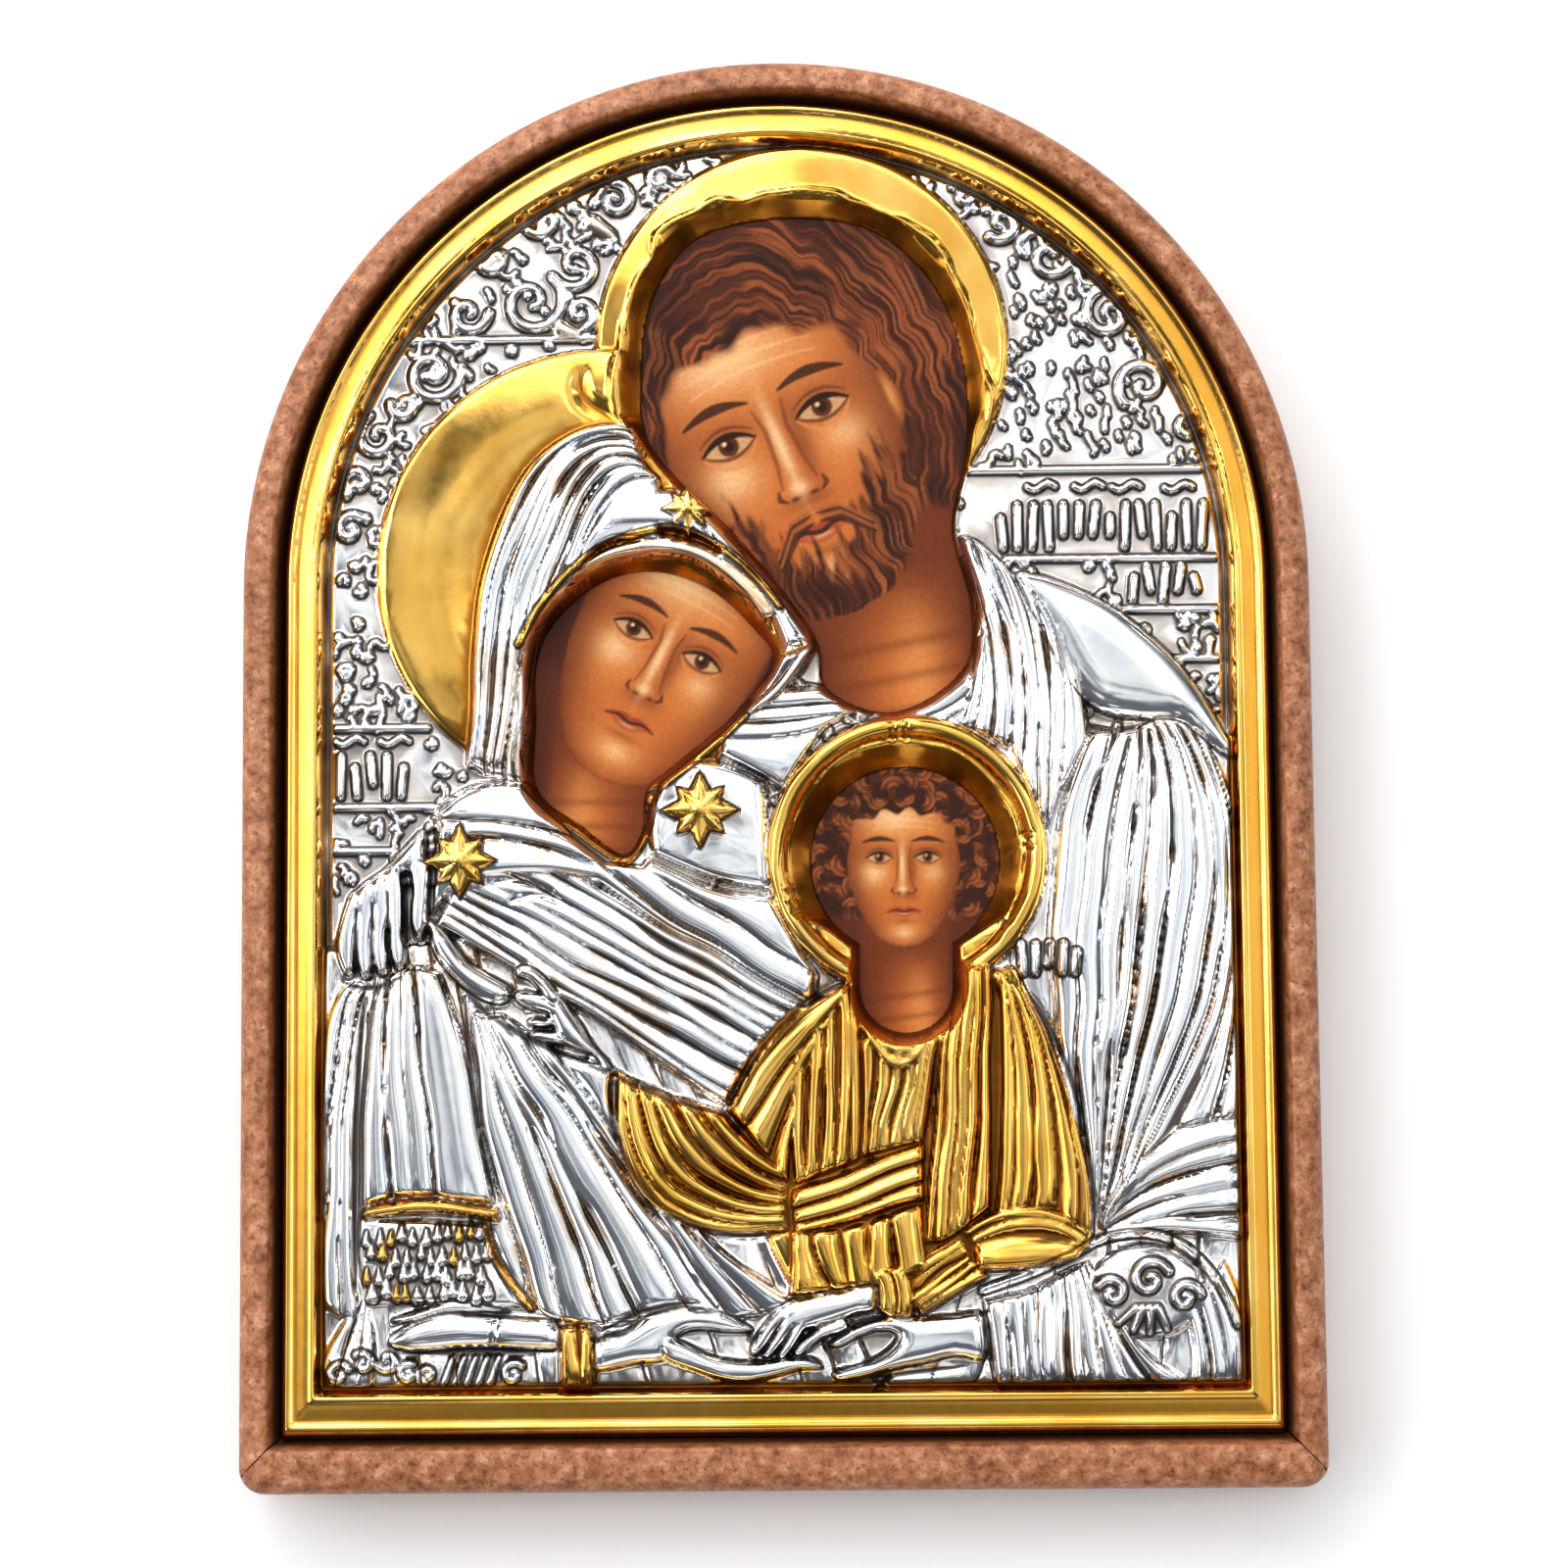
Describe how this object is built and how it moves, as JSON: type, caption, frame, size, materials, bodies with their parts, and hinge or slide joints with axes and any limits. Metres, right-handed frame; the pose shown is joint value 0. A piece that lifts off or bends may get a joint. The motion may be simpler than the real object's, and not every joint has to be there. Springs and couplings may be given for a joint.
{
  "type": "icon panel",
  "caption": "Small arched devotional panel: a pressed silver and gilt cover with face windows over a painted board, set in a mitred brown tray frame.",
  "frame": {"origin": "middle of the panel's outline at its back plane, with the panel lying on its back", "axes": "+X to the picture's right, +Y to the picture's top, +Z out of the picture face"},
  "size_m": [0.09, 0.1204, 0.0114],
  "materials": {
    "frame": "mottled brown lacquer, semi-gloss",
    "board": "painted picture under satin varnish, plain back",
    "cover": "polished silver plate, border, haloes, stars and one robe gilt"
  },
  "bodies": {
    "root": {"frame_arch": "frame", "frame_sill": "frame", "painted_board": "board", "metal_cover": "cover"}
  },
  "joints": []
}
